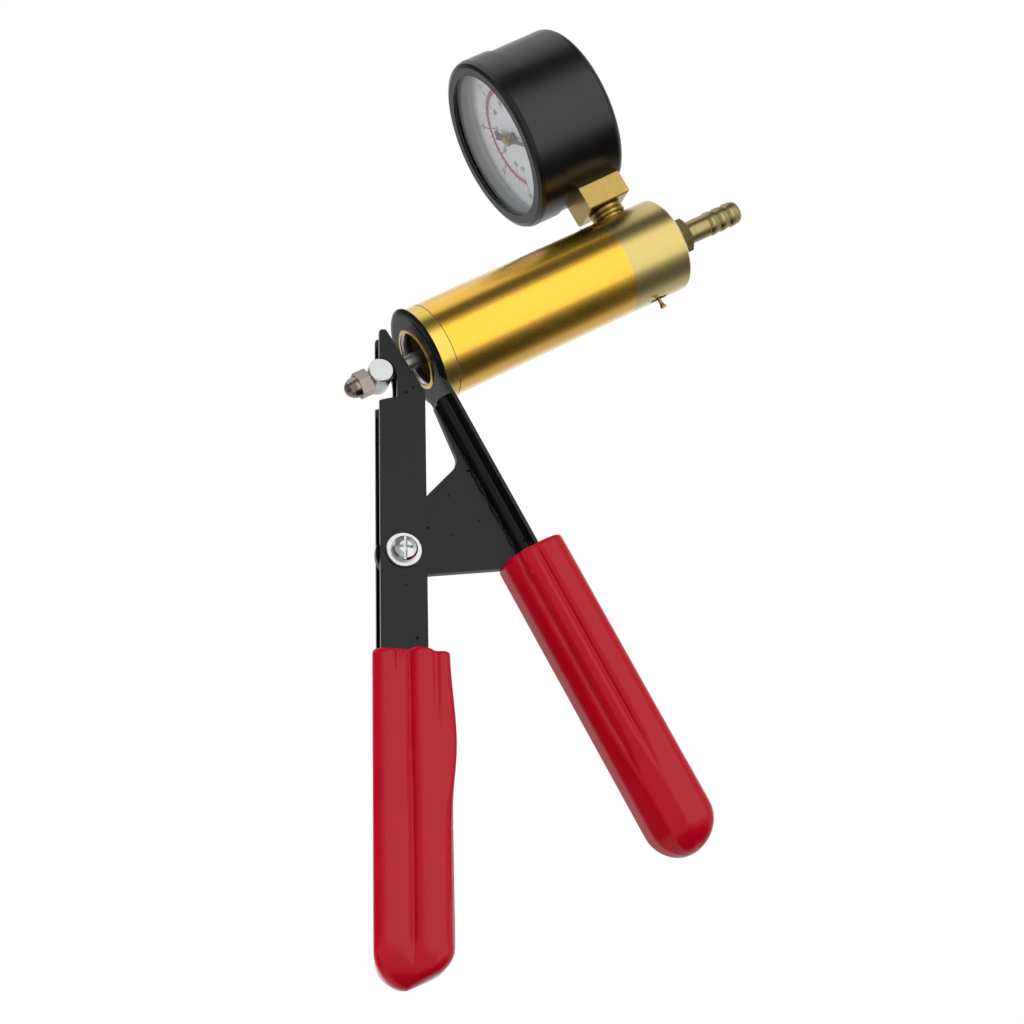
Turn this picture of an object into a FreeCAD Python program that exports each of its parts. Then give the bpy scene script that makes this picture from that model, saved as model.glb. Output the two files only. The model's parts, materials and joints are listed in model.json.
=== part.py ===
"""Hand vacuum pump: a squeeze-lever piston pump with a dial gauge and a hose barb.

The X axis is the barrel's axis and points from the handles to the hose barb, Z points to the gauge, and the
lever's pivot runs along Y. The origin is on the barrel's axis, in the handle's ring plate.
"""
import math
import os

import FreeCAD
import Part
import Sketcher

Vector = FreeCAD.Vector
Rotation = FreeCAD.Rotation
Placement = FreeCAD.Placement

X_AXIS = Vector(1, 0, 0)
Y_AXIS = Vector(0, 1, 0)
Z_AXIS = Vector(0, 0, 1)

# Driving dimensions, in millimetres and degrees.
SIZES = {
    # barrel, its front collar and its end cap
    "barrel_radius": 16.55,
    "barrel_wall": 1.5,
    "barrel_start": 5.8,
    "barrel_end": 77.5,
    "cap_end": 100.5,
    "edge_break": 0.8,
    "collar_bore": 9.4,
    "collar_neck": 9.9,
    "collar_lip": 10.6,
    "lip_height": 0.4,
    "spigot_length": 5.2,
    "guide_thickness": 3.5,
    "cap_pocket_radius": 4.5,
    "cap_pocket_end": 80.0,
    "valve_seat_radius": 1.2,
    "chamber_start": 84.0,
    "chamber_radius": 3.2,
    "chamber_end": 94.5,
    "oring_radius": 0.95,
    # handle plates
    "plate": 1.2,
    "plate_back": 0.3,
    "ring_radius": 17.5,
    "ring_face": 14.6,
    "strip_width": 20.0,
    "strip_bend_z": 20.0,
    "strip_angle": 3.0,
    "strip_length": 158.0,
    "rib_width": 10.6,
    "rib_height": 4.3,
    "rib_round": 3.0,
    "rib_start": 17.0,
    "gusset": 2.5,
    "ear_radius": 8.6,
    # lever and its pivot
    "pivot_x": -41.5,
    "pivot_z": -58.0,
    "lever_angle": 30.4,
    "lever_width": 15.2,
    "lever_depth": 9.2,
    "lever_plate": 1.4,
    "lever_notch": 63.05,
    "lever_notch_offset": -7.1,
    "lever_shoulder": 56.5,
    "lever_tip": 78.3,
    "lever_tail": 134.0,
    "screw_radius": 2.5,
    "bush_radius": 3.5,
    "washer_radius": 5.8,
    "washer_thickness": 1.0,
    # grips
    "grip_start": 34.6,
    "lever_grip_end": 140.5,
    "lever_grip_offset": 3.4,
    "lever_grip_width": 26.0,
    "lever_grip_depth": 22.0,
    "fixed_grip_start": 77.0,
    "fixed_grip_end": 184.0,
    "fixed_grip_width": 20.0,
    "fixed_grip_depth": 25.5,
    # piston and its rod
    "rod_radius": 2.75,
    "thread_radius": 2.45,
    "trunnion_x": -15.7,
    "trunnion_radius": 4.27,
    "trunnion_length": 10.5,
    "trunnion_flat": 3.9,
    "acorn_flats": 8.0,
    "acorn_length": 8.9,
    "piston_front": 63.0,
    "piston_back": 71.0,
    "piston_radius": 14.75,
    "seal_radius": 1.3,
    "spring_radius": 6.6,
    "spring_wire": 0.8,
    # gauge
    "stem_x": 88.0,
    "head_clocking": 4.2,
    "gauge_yaw": -3.0,
    "gauge_height": 57.4,
    "gauge_front": 23.9,
    "gauge_back": 10.6,
    "case_radius": 30.0,
    "case_wall": 1.6,
    "bezel_radius": 30.7,
    "bezel_length": 10.5,
    "bezel_opening": 25.8,
    "block_side": 16.2,
    "block_start": 20.3,
    "block_end": 35.0,
    "post_end": 40.0,
    "neck_radius": 6.1,
    "stem_thread": 4.8,
    "stem_start": 7.2,
    "dial_depth": 8.6,
    "pointer_length": 22.0,
    # hose barb
    "barb_hex": 12.0,
    "barb_hex_length": 8.8,
    "barb_clocking": 18.0,
    "barb_root": 3.9,
    "barb_crest": 4.25,
    "barb_pitch": 4.0,
    "barb_bore": 1.8,
    "barb_end": 132.0,
    # release valve
    "release_pin_radius": 0.65,
    "release_head_radius": 1.1,
    "release_reach": 20.1,
    "release_pivot": 7.0,
    "release_hole_radius": 1.8,
    "release_disc_radius": 2.1,
    "release_slot_length": 6.5,
    "release_slot_width": 2.4,
    # running clearance
    "running": 0.05,
}

doc = FreeCAD.newDocument("HandVacuumPump")
sheet = doc.addObject("Spreadsheet::Sheet", "Sizes")
for row, (alias, number) in enumerate(SIZES.items(), start=1):
    sheet.set(f"A{row}", alias)
    sheet.set(f"B{row}", str(number))
    sheet.setAlias(f"B{row}", alias)
doc.recompute()


class Size:
    """A length or an angle that knows its value and the spreadsheet expression it comes from."""

    def __init__(self, value, text):
        self.value = value
        self.text = text

    @staticmethod
    def of(other):
        return other if isinstance(other, Size) else Size(float(other), repr(float(other)))

    def join(self, other, sign, value):
        return Size(value, f"({self.text} {sign} {Size.of(other).text})")

    def __add__(self, other):
        return self.join(other, "+", self.value + Size.of(other).value)

    def __sub__(self, other):
        return self.join(other, "-", self.value - Size.of(other).value)

    def __mul__(self, other):
        return self.join(other, "*", self.value * Size.of(other).value)

    def __truediv__(self, other):
        return self.join(other, "/", self.value / Size.of(other).value)

    def __neg__(self):
        return self * -1

    def __float__(self):
        return self.value


def size(alias):
    """The driving dimension with this alias."""
    return Size(SIZES[alias], f"Sizes.{alias}")


def bind(feature, name, length):
    """Set a property of a feature and tie it to its expression."""
    length = Size.of(length)
    setattr(feature, name, length.value)
    feature.setExpression(name, length.text)


def new_body(label, placement=None):
    """A named sub-part."""
    body = doc.addObject("PartDesign::Body", label)
    body.Label = label
    if placement:
        body.Placement = placement
    return body


def new_sketch(body, plane, offset=None):
    """An empty sketch on one of the body's own origin planes: XY, XZ or YZ."""
    sketch = body.newObject("Sketcher::SketchObject", "Sketch")
    origin_plane = [f for f in body.Origin.OriginFeatures if f.Role == f"{plane}_Plane"][0]
    sketch.AttachmentSupport = [(origin_plane, "")]
    sketch.MapMode = "FlatFace"
    if offset:
        sketch.AttachmentOffset = offset
    return sketch


def place_point(sketch, geometry, end, point):
    """Hold one point of a sketch at two spreadsheet distances from the origin."""
    for kind, length in zip(("DistanceX", "DistanceY"), point):
        length = Size.of(length)
        number = sketch.addConstraint(Sketcher.Constraint(kind, -1, 1, geometry, end, length.value))
        sketch.setExpression(f"Constraints[{number}]", length.text)


def draw_outline(sketch, points):
    """A closed outline of straight lines through the points."""
    corners = [Vector(float(x), float(y), 0) for x, y in points]
    first = sketch.GeometryCount
    for start, stop in zip(corners, corners[1:] + corners[:1]):
        sketch.addGeometry(Part.LineSegment(start, stop), False)
    for index, point in enumerate(points):
        following = first + (index + 1) % len(points)
        sketch.addConstraint(Sketcher.Constraint("Coincident", first + index, 2, following, 1))
        place_point(sketch, first + index, 1, point)


def draw_circle(sketch, radius, centre=(0, 0)):
    """A circle with a bound radius."""
    middle = Vector(float(centre[0]), float(centre[1]), 0)
    circle = sketch.addGeometry(Part.Circle(middle, Z_AXIS, float(radius)), False)
    number = sketch.addConstraint(Sketcher.Constraint("Radius", circle, float(radius)))
    sketch.setExpression(f"Constraints[{number}]", Size.of(radius).text)
    place_point(sketch, circle, 3, centre)


def draw_rectangle(sketch, width, height, centre=(0, 0)):
    """A rectangle about its centre."""
    half_width, half_height = Size.of(width) / 2, Size.of(height) / 2
    x, y = Size.of(centre[0]), Size.of(centre[1])
    draw_outline(sketch, [(x - half_width, y - half_height), (x + half_width, y - half_height),
                          (x + half_width, y + half_height), (x - half_width, y + half_height)])


def draw_hexagon(sketch, flats):
    """A regular hexagon about the origin, by its width across flats."""
    corner = Size.of(flats) / math.sqrt(3)
    draw_outline(sketch, [(corner * math.cos(math.radians(60 * k)), corner * math.sin(math.radians(60 * k)))
                          for k in range(6)])


def pad(body, sketch, length, symmetric=False, reverse=False):
    """Material along the sketch's normal."""
    feature = body.newObject("PartDesign::Pad", "Pad")
    feature.Profile = sketch
    feature.SideType = "Symmetric" if symmetric else "One side"
    feature.Reversed = reverse
    bind(feature, "Length", length)
    return feature


def pocket(body, sketch, length=None, symmetric=False, reverse=False):
    """A cut along the sketch's normal, right through when no length is given."""
    feature = body.newObject("PartDesign::Pocket", "Pocket")
    feature.Profile = sketch
    feature.SideType = "Symmetric" if symmetric else "One side"
    feature.Reversed = reverse
    if length is None:
        feature.Type = "ThroughAll"
    else:
        bind(feature, "Length", length)
    doc.recompute()
    before = feature.BaseFeature.Shape.Volume
    if feature.Shape.Volume > before - 0.01:
        raise RuntimeError(f"a pocket in {body.Label} cuts nothing")
    return feature


def turn(body, points, axis="H_Axis", plane="XZ", offset=None, cut=False):
    """A solid, or a cut, turned from a half section about a sketch axis."""
    sketch = new_sketch(body, plane, offset)
    draw_outline(sketch, points)
    kind = "PartDesign::Groove" if cut else "PartDesign::Revolution"
    feature = body.newObject(kind, "Turned")
    feature.Profile = sketch
    feature.ReferenceAxis = (sketch, [axis])
    feature.Angle = 360.0
    return feature


def round_edges(body, radius, wanted):
    """Round the edges of the body's last feature that the test function picks."""
    doc.recompute()
    base = body.Tip
    names = [f"Edge{k}" for k, edge in enumerate(base.Shape.Edges, start=1) if wanted(edge)]
    feature = body.newObject("PartDesign::Fillet", "Round")
    feature.Base = (base, names)
    bind(feature, "Radius", radius)
    return feature


def along(axis):
    """A test for straight edges that run along an axis."""
    def test(edge):
        if not isinstance(edge.Curve, Part.Line):
            return False
        return abs(edge.tangentAt(edge.FirstParameter).dot(axis)) > 0.999
    return test


# ------------------------------------------------------------------ barrel
barrel_bore = size("barrel_radius") - size("barrel_wall")
plate_front = size("plate_back") - size("plate")


def make_barrel():
    start, stop, outer = size("barrel_start"), size("barrel_end"), size("barrel_radius")
    turn(new_body("barrel_tube"), [(start, barrel_bore), (stop, barrel_bore), (stop, outer), (start, outer)])


def make_front_collar():
    """Turned collar: a spigot in the barrel, a shoulder behind the ring and a lip rolled over in front of it."""
    start, outer, shoulder = size("barrel_start"), size("barrel_radius"), size("plate_back")
    neck, lip, height = size("collar_neck"), size("collar_lip"), size("lip_height")
    inner, inside = start + size("spigot_length"), size("collar_bore")
    front = plate_front - height
    turn(new_body("front_collar"), [
        (front, inside), (front, lip - height), (plate_front - height * 0.5, lip), (plate_front, lip),
        (plate_front, neck), (shoulder, neck), (shoulder, outer - 0.4), (shoulder + 0.4, outer), (start, outer),
        (start, barrel_bore), (inner, barrel_bore), (inner, inside)])


def make_rod_guide():
    """Plastic guide pressed into the collar."""
    back = size("barrel_start") + size("spigot_length")
    front = back - size("guide_thickness")
    hole = size("rod_radius") + size("running")
    rim = size("collar_bore")
    turn(new_body("rod_guide"), [(front, hole + 0.6), (front + 0.6, hole), (back, hole), (back, rim), (front, rim)])


def make_end_cap():
    """End block with the check valve's pocket, the gauge port, the outlet thread and the release valve's hole."""
    body = new_body("end_cap", Placement(Vector(), Rotation(X_AXIS, SIZES["head_clocking"])))
    start, stop, outer, edge = size("barrel_end"), size("cap_end"), size("barrel_radius"), size("edge_break")
    inner = start - size("spigot_length")
    pocket_radius, pocket_end = size("cap_pocket_radius"), size("cap_pocket_end")
    seat, chamber = size("valve_seat_radius"), size("chamber_radius")
    groove = size("oring_radius") * 2
    groove_start = inner + 1.6
    turn(body, [
        (inner, pocket_radius), (pocket_end, pocket_radius), (pocket_end + 2.5, seat), (size("chamber_start"), seat),
        (size("chamber_start"), chamber), (stop, chamber), (stop, outer - edge), (stop - edge, outer),
        (start, outer), (start, barrel_bore), (groove_start + groove, barrel_bore),
        (groove_start + groove, barrel_bore - groove), (groove_start, barrel_bore - groove),
        (groove_start, barrel_bore), (inner, barrel_bore)])
    gauge_port = new_sketch(body, "XY", Placement(Vector(0, 0, size("stem_start").value), Rotation()))
    draw_circle(gauge_port, size("stem_thread"), (size("stem_x"), 0))
    pocket(body, gauge_port, size("barrel_radius"), reverse=True)
    gauge_way = new_sketch(body, "XY")
    draw_circle(gauge_way, 1.5, (size("stem_x"), 0))
    pocket(body, gauge_way, size("barrel_radius"), reverse=True)
    release_hole = new_sketch(body, "XY")
    draw_circle(release_hole, size("release_hole_radius"), (size("stem_x"), 0))
    pocket(body, release_hole, size("barrel_radius") + 1)
    slot = new_sketch(body, "XY", Placement(Vector(0, 0, -size("barrel_radius").value - 1), Rotation()))
    draw_rectangle(slot, size("release_slot_length"), size("release_slot_width"), (size("stem_x"), 0))
    pocket(body, slot, 4.5, reverse=True)
    return body


def make_end_cap_oring():
    ring = doc.addObject("Part::Torus", "end_cap_oring")
    ring.Label = "end_cap_oring"
    minor = size("oring_radius")
    bind(ring, "Radius1", barrel_bore - minor)
    bind(ring, "Radius2", minor)
    middle = size("barrel_end") - size("spigot_length") + 1.6 + minor
    ring.Placement = Placement(Vector(middle.value, 0, 0), Rotation(Y_AXIS, 90))
    ring.setExpression("Placement.Base.x", middle.text)


def make_hose_barb():
    """Hexagon, threaded shank and three soft saw-tooth rings with a rounded nose."""
    body = new_body("hose_barb", Placement(Vector(), Rotation(X_AXIS, SIZES["barb_clocking"])))
    face, rim, tip = size("cap_end"), size("barb_hex_length"), size("barb_end")
    bore, root, crest, pitch = size("barb_bore"), size("barb_root"), size("barb_crest"), size("barb_pitch")
    flats = size("barb_hex")
    hexagon = new_sketch(body, "YZ", Placement(Vector(0, 0, face.value), Rotation()))
    draw_hexagon(hexagon, flats)
    pad(body, hexagon, rim)
    points = [(size("chamber_end"), bore), (size("chamber_end"), size("chamber_radius")),
              (face, size("chamber_radius")), (face, root + 0.8), (face + rim, root + 0.8), (face + rim, root + 0.1)]
    for ring in (3, 2, 1):
        back = tip - pitch * ring - 1.8
        points += [(back, root + 0.1), (back + 0.5, root - 0.1), (back + 1.3, crest), (back + 2.3, crest)]
    points += [(tip - 1.4, root + 0.1), (tip - 0.5, root - 0.3), (tip, root - 1.1), (tip, bore)]
    turn(body, points)
    turn(body, [(face + rim - 1.0, flats * 0.6), (face + rim, flats * 0.6), (face + rim, flats * 0.48)], cut=True)
    bored = new_sketch(body, "YZ", Placement(Vector(0, 0, size("chamber_end").value - 1), Rotation()))
    draw_circle(bored, bore)
    pocket(body, bored, tip - size("chamber_end") + 2, reverse=True)


# ------------------------------------------------------------------ fixed handle
def tilted_strip(offset=0.0):
    """Sketch offset for the handle's strip: it starts at the bend and leans towards the lever."""
    tilt = Rotation(X_AXIS, SIZES["strip_angle"])
    start = Placement(Vector(0, -SIZES["strip_bend_z"], 0), tilt)
    return start.multiply(Placement(Vector(0, 0, offset), Rotation()))


def make_fixed_handle():
    """Pressed steel: a dished ring on the collar's neck, and a strip with a raised stiffening rib."""
    body = new_body("fixed_handle")
    plate, half, bend = size("plate"), size("strip_width") / 2, size("strip_bend_z")
    front, back, rim, flat = plate_front, size("plate_back"), size("ring_radius"), size("ring_face")
    dish = rim - flat
    turn(body, [(front, size("collar_neck")), (front, flat), (front + plate * 0.1, flat + dish * 0.35),
                (front + plate * 0.3, flat + dish * 0.65), (front + plate * 0.6, flat + dish * 0.88),
                (front + plate * 0.85, rim), (back, rim), (back, size("collar_neck"))])
    tab = new_sketch(body, "YZ", Placement(Vector(0, 0, front.value), Rotation()))
    draw_outline(tab, [(-half, -bend - 0.1), (half, -bend - 0.1), (half, -12), (-half, -12)])
    pad(body, tab, plate)
    strip = new_sketch(body, "YZ", tilted_strip(front.value))
    draw_outline(strip, [(-half, -size("strip_length")), (half, -size("strip_length")), (half, 0), (-half, 0)])
    pad(body, strip, plate)
    rib_half, rib_top = size("rib_width") / 2, bend - size("rib_start")
    rib = new_sketch(body, "YZ", tilted_strip())
    draw_outline(rib, [(-rib_half, -size("strip_length")), (rib_half, -size("strip_length")),
                       (rib_half, rib_top), (-rib_half, rib_top)])
    pad(body, rib, size("rib_height"), reverse=True)
    lean = math.radians(SIZES["strip_angle"])

    def on_rib_face(edge):
        """True for the edges of the rib's front face, except the one across its foot."""
        depths = [point.X * math.cos(lean) - (point.Z + bend.value) * math.sin(lean) for point in edge.Vertexes]
        return max(depths) < 0.01 - size("rib_height").value and edge.BoundBox.ZMax > -150

    round_edges(body, size("rib_round"), lambda edge: on_rib_face(edge) and edge.BoundBox.ZLength > 50)
    round_edges(body, 1.0, lambda edge: on_rib_face(edge) and edge.BoundBox.ZLength < 1)
    trough = new_sketch(body, "YZ", tilted_strip(back.value + 0.2))
    inner = rib_half - plate * 1.5
    draw_outline(trough, [(-inner, 1 - size("strip_length").value), (inner, 1 - size("strip_length").value),
                          (inner, -1), (-inner, -1)])
    pocket(body, trough, size("rib_height") - plate + back + 0.2)


def rib_face(z):
    """X of the rib's front face at a height below the bend."""
    lean = math.tan(math.radians(SIZES["strip_angle"]))
    return -size("rib_height") / math.cos(math.radians(SIZES["strip_angle"])) + (size("strip_bend_z") + z) * lean


def make_pivot_gusset():
    """Plate welded along the rib, with the ear that carries the lever and a fin that runs up to the ring."""
    body = new_body("pivot_gusset")
    ear = size("ear_radius")
    pivot_x, pivot_z = size("pivot_x"), size("pivot_z")
    upper, lower = math.radians(17.5), math.radians(-22.4)
    top = (pivot_x - (ear - 0.7) * math.sin(upper), pivot_z + (ear - 0.7) * math.cos(upper))
    bottom = (pivot_x + (ear - 1.2) * math.sin(lower), pivot_z - (ear - 1.2) * math.cos(lower))
    corner = rib_face(-39) - 2.8
    top_run = corner - top[0]
    bottom_run = -bottom[0] + rib_face(-81)
    outline = new_sketch(body, "XZ")
    draw_outline(outline, [
        top, bottom, (rib_face(-81), bottom[1] + bottom_run * math.tan(lower)), (rib_face(-81), Size.of(-81)),
        (rib_face(-18), Size.of(-18)), (rib_face(-18) - 0.7, Size.of(-18)),
        (corner, top[1] + top_run * math.tan(upper))])
    pad(body, outline, size("gusset"), symmetric=True)
    round_edges(body, 6.0, lambda edge: along(Y_AXIS)(edge) and abs(edge.CenterOfMass.x - corner.value) < 0.1)
    round_ear = new_sketch(body, "XZ")
    draw_circle(round_ear, ear, (pivot_x, pivot_z))
    pad(body, round_ear, size("gusset"), symmetric=True)
    hole = new_sketch(body, "XZ")
    draw_circle(hole, size("bush_radius") + size("running"), (pivot_x, pivot_z))
    pocket(body, hole, size("gusset") + 2, symmetric=True)


def make_grip(label, placement, section, ends, cavity):
    """Dipped grip: a rounded bar along local Z with a blind slot for the handle inside it."""
    centre, width, depth = section
    start, stop = ends
    body = new_body(label, placement)
    outline = new_sketch(body, "XY", Placement(Vector(0, 0, -stop.value), Rotation()))
    draw_rectangle(outline, width, depth, (centre, 0))
    pad(body, outline, stop - start)
    corner = width * 0.38
    round_edges(body, corner, along(Z_AXIS))
    round_edges(body, corner * 0.95, lambda edge: edge.BoundBox.ZMax < 0.01 - stop.value)
    round_edges(body, 1.5, lambda edge: edge.BoundBox.ZMin > -0.01 - start.value)
    for cut_width, cut_depth, middle, length in cavity:
        slot = new_sketch(body, "XY", Placement(Vector(0, 0, 1 - start.value), Rotation()))
        draw_rectangle(slot, cut_width + size("running") * 2, cut_depth + size("running") * 2, (middle, 0))
        pocket(body, slot, length - start + 1.5)


def make_fixed_grip():
    tilt = Rotation(Y_AXIS, SIZES["strip_angle"])
    bend = size("strip_bend_z")
    frame = Placement(Vector(0, 0, -bend.value), tilt)
    plate, rib = size("plate"), size("rib_height")
    make_grip("fixed_grip", frame, (Size.of(-1.0), size("fixed_grip_width"), size("fixed_grip_depth")),
              (size("fixed_grip_start") - bend, size("fixed_grip_end") - bend),
              [(plate, size("strip_width"), plate_front + plate / 2, size("strip_length")),
               (rib + 0.2, size("rib_width"), -rib / 2, size("strip_length")),
               (Size.of(8.2), size("gusset"), -rib - 4.0, Size.of(62.5))])


# ------------------------------------------------------------------ lever
lever_frame = Placement(Vector(SIZES["pivot_x"], 0, SIZES["pivot_z"]), Rotation(Y_AXIS, SIZES["lever_angle"]))
lever_gap = size("lever_depth") - size("lever_plate") * 2


def make_moving_lever():
    """Folded steel channel: two cheeks, joined by webs clear of the gusset, notched for the trunnion."""
    body = new_body("moving_lever", lever_frame)
    half, tail = size("lever_width") / 2, size("lever_tail")
    outline = new_sketch(body, "XZ")
    draw_outline(outline, [(-half, -tail), (half, -tail), (half, size("lever_shoulder")),
                           (2.3 - half.value, size("lever_tip")), (-half, size("lever_tip"))])
    pad(body, outline, size("lever_depth"), symmetric=True)
    round_edges(body, 1.1, lambda edge: along(Y_AXIS)(edge) and edge.CenterOfMass.z > 70)
    round_edges(body, 4, lambda edge: along(Y_AXIS)(edge) and 50 < edge.CenterOfMass.z < 60)
    web = half - size("lever_plate")
    outside = half + 2
    between = new_sketch(body, "XZ")
    draw_outline(between, [(-outside, -tail - 2), (web, -tail - 2), (web, -16), (outside, -16), (outside, 26),
                           (web, 26), (web, 46), (outside, 46), (outside, 82), (-outside, 82)])
    pocket(body, between, lever_gap, symmetric=True)
    notch_x, notch_z = size("lever_notch_offset"), size("lever_notch")
    room = size("trunnion_radius") + 0.4
    notch = new_sketch(body, "XZ")
    draw_circle(notch, room, (notch_x, notch_z))
    pocket(body, notch, size("lever_depth") + 2, symmetric=True)
    slide = new_sketch(body, "XZ")
    draw_outline(slide, [(-outside, 51.9), (-1.8, 54.2), (-1.65, 60.0), (-1.95, 63.3), (-3.0, 65.1),
                         (notch_x, notch_z), (-outside, notch_z)])
    pocket(body, slide, size("lever_depth") + 2, symmetric=True)
    hole = new_sketch(body, "XZ")
    draw_circle(hole, size("screw_radius") + 0.1)
    pocket(body, hole, size("lever_depth") + 2, symmetric=True)


def make_moving_grip():
    make_grip("moving_grip", lever_frame,
              (size("lever_grip_offset"), size("lever_grip_width"), size("lever_grip_depth")),
              (size("grip_start"), size("lever_grip_end")),
              [(size("lever_width"), size("lever_depth"), Size.of(0), size("lever_tail"))])


def make_pivot_bush():
    bore, outer, half = size("screw_radius") + size("running"), size("bush_radius"), lever_gap / 2
    turn(new_body("pivot_bush", lever_frame), [(bore, -half), (outer, -half), (outer, half), (bore, half)],
         axis="V_Axis", plane="XY")


def make_thrust_washers():
    """Washers on the bush, one on each side of the ear."""
    inner, outer = size("bush_radius") + size("running"), size("ear_radius") * 0.7
    far, near = lever_gap / 2, size("gusset") / 2 + 0.2
    for label, side in (("thrust_washer_front", -1), ("thrust_washer_back", 1)):
        turn(new_body(label, lever_frame), [(inner, near * side), (outer, near * side), (outer, far * side),
                                            (inner, far * side)], axis="V_Axis", plane="XY")


def make_pivot_screw():
    """Pan head screw with a cross and a slot."""
    body = new_body("pivot_screw", lever_frame)
    face = -size("lever_depth") / 2 - size("washer_thickness")
    head, radius = size("screw_radius") * 1.68, size("screw_radius")
    end = size("lever_depth") / 2 + 5.2
    turn(body, [(0, face - 2.7), (head * 0.5, face - 2.6), (head * 0.85, face - 2.1), (head, face - 1.2),
                (head, face), (radius, face), (radius, end - 0.5), (radius - 0.5, end), (0, end)],
         axis="V_Axis", plane="XY")
    for width, length in ((1.0, head * 1.9), (head * 1.1, 1.0)):
        recess = new_sketch(body, "XZ", Placement(Vector(0, 0, 3 - face.value), Rotation()))
        draw_rectangle(recess, width, length)
        pocket(body, recess, 1.7)


def make_pivot_washer():
    bore, outer = size("screw_radius") + size("running"), size("washer_radius")
    near = -size("lever_depth") / 2
    far = near - size("washer_thickness")
    turn(new_body("pivot_washer", lever_frame), [(bore, near), (outer, near), (outer, far + 0.2),
                                                 (outer - 0.2, far), (bore, far)], axis="V_Axis", plane="XY")


def make_pivot_nut():
    body = new_body("pivot_nut", lever_frame)
    hexagon = new_sketch(body, "XZ", Placement(Vector(0, 0, -SIZES["lever_depth"] / 2), Rotation()))
    draw_hexagon(hexagon, size("acorn_flats"))
    pad(body, hexagon, 4, reverse=True)
    hole = new_sketch(body, "XZ")
    draw_circle(hole, size("screw_radius"))
    pocket(body, hole, 60, symmetric=True)


# ------------------------------------------------------------------ piston
def make_piston_rod():
    """Ground rod, stepped down to a thread at both ends."""
    thread, radius = size("thread_radius"), size("rod_radius")
    shoulder = size("trunnion_x") + size("trunnion_flat")
    tip = size("trunnion_x") - size("trunnion_flat") - 5
    front, back = size("piston_front"), size("piston_back")
    turn(new_body("piston_rod"), [(tip, 0), (tip, thread - 0.5), (tip + 0.5, thread), (shoulder, thread),
                                  (shoulder, radius), (front, radius), (front, thread), (back, thread), (back, 0)])


def make_trunnion_pin():
    """Cross pin that the lever's notches push, drilled for the rod and flatted for its shoulder and nut."""
    body = new_body("trunnion_pin", Placement(Vector(SIZES["trunnion_x"], 0, 0), Rotation()))
    body.setExpression("Placement.Base.x", "Sizes.trunnion_x")
    half, radius = size("trunnion_length") / 2, size("trunnion_radius")
    turn(body, [(0, -half), (radius - 0.4, -half), (radius, 0.4 - half.value), (radius, half - 0.4),
                (radius - 0.4, half), (0, half)], axis="V_Axis", plane="XY")
    hole = new_sketch(body, "YZ")
    draw_circle(hole, size("thread_radius"))
    pocket(body, hole, 20, symmetric=True)
    for side, length in ((1, lever_gap - 0.2), (-1, size("trunnion_length") + 2)):
        flat = new_sketch(body, "XZ")
        near = size("trunnion_flat") * side
        draw_outline(flat, [(near, -6), (near * 2, -6), (near * 2, 6), (near, 6)])
        pocket(body, flat, length, symmetric=True)


def make_acorn_nut():
    """Domed nut on the end of the rod."""
    face = size("trunnion_x") - size("trunnion_flat")
    body = new_body("acorn_nut")
    flats, total = size("acorn_flats"), size("acorn_length")
    hexagon_end = face - total * 0.5
    hexagon = new_sketch(body, "YZ", Placement(Vector(0, 0, face.value), Rotation()))
    draw_hexagon(hexagon, flats)
    pad(body, hexagon, total * 0.5, reverse=True)
    dome = flats * 0.46
    height = total * 0.5
    steps = [(hexagon_end - height * math.sin(math.radians(a)), dome * math.cos(math.radians(a)))
             for a in (0, 15, 30, 45, 60, 75)]
    turn(body, [(hexagon_end + 1, 0), (hexagon_end + 1, dome)] + steps + [(face - total, 0)])
    hole = new_sketch(body, "YZ", Placement(Vector(0, 0, face.value + 1), Rotation()))
    draw_circle(hole, size("thread_radius"))
    pocket(body, hole, 6.2)


def make_piston_body():
    """Piston with a seal groove and four air holes under the exhaust flap."""
    body = new_body("piston_body")
    front, back, outer = size("piston_front"), size("piston_back"), size("piston_radius")
    thread, seal = size("thread_radius"), size("seal_radius")
    groove_start, groove_end = front + 2.5, front + 2.5 + seal * 2
    floor = barrel_bore - size("running") - seal * 2
    turn(body, [(front, thread), (back, thread), (back, outer - 0.6), (back - 0.6, outer), (groove_end, outer),
                (groove_end, floor), (groove_start, floor), (groove_start, outer), (front + 0.6, outer),
                (front, outer - 0.6)])
    holes = new_sketch(body, "YZ", Placement(Vector(0, 0, front.value - 1), Rotation()))
    for quarter in range(4):
        angle = math.radians(45 + 90 * quarter)
        draw_circle(holes, 1.0, (9.5 * math.cos(angle), 9.5 * math.sin(angle)))
    pocket(body, holes, 20, reverse=True)


def make_piston_seal():
    seal = doc.addObject("Part::Torus", "piston_seal")
    seal.Label = "piston_seal"
    bind(seal, "Radius1", barrel_bore - size("running") - size("seal_radius"))
    bind(seal, "Radius2", size("seal_radius"))
    middle = size("piston_front") + 2.5 + size("seal_radius")
    seal.Placement = Placement(Vector(middle.value, 0, 0), Rotation(Y_AXIS, 90))
    seal.setExpression("Placement.Base.x", middle.text)


def make_exhaust_flap():
    back, inner = size("piston_front"), size("rod_radius") + size("running")
    turn(new_body("exhaust_flap"), [(back - 0.6, inner), (back, inner), (back, 11.8), (back - 0.6, 11.8)])


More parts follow.
